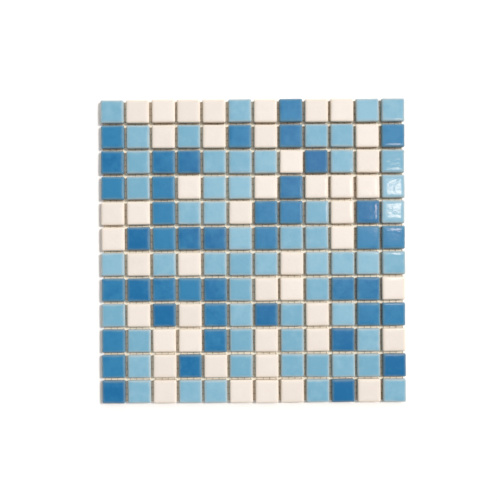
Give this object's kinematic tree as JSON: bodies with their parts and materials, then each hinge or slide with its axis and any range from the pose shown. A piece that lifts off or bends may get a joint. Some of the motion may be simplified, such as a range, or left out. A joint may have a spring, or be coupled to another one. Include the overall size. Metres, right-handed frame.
{
  "type": "mosaic pool tile sheet",
  "caption": "Square sheet of cushion-edged glazed ceramic mosaic chips in white, light blue and deep blue, laid with open joints on a glass-fibre net, for lining pools.",
  "frame": {"origin": "middle of the sheet, on the plane of the backing net's underside", "axes": "+Z out of the glazed faces, +X along the rows of chips to the right as pictured, +Y up the columns towards the first row"},
  "size_m": [0.2985, 0.2985, 0.0055],
  "materials": {
    "white_glaze": "gloss",
    "light_blue_glaze": "gloss",
    "deep_blue_glaze": "gloss",
    "glass_fibre_net": "matte"
  },
  "bodies": {
    "root": {"white_chips": "white_glaze", "light_blue_chips": "light_blue_glaze", "deep_blue_chips": "deep_blue_glaze", "net_warp_strands": "glass_fibre_net", "net_weft_strands": "glass_fibre_net"}
  },
  "joints": []
}
